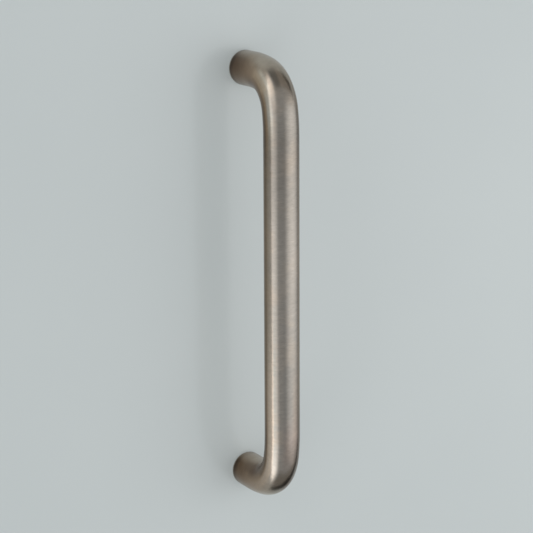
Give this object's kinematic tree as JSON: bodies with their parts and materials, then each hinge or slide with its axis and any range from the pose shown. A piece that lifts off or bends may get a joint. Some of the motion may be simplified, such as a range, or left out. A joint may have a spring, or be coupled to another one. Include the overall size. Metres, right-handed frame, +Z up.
{
  "type": "door pull handle",
  "caption": "D-shaped pull handle bent from a round satin metal bar, fixed by bolts that pass through the door into a tapped hole in each foot.",
  "frame": {"origin": "on the door's face, halfway between the centres of the two feet", "axes": "+Z up along the grip, +Y into the door, +X across the door; the grip stands out along -Y"},
  "size_m": [0.019, 0.0515, 0.244],
  "materials": {
    "bar": "satin"
  },
  "bodies": {
    "root": {"pull_handle": "bar"}
  },
  "joints": []
}
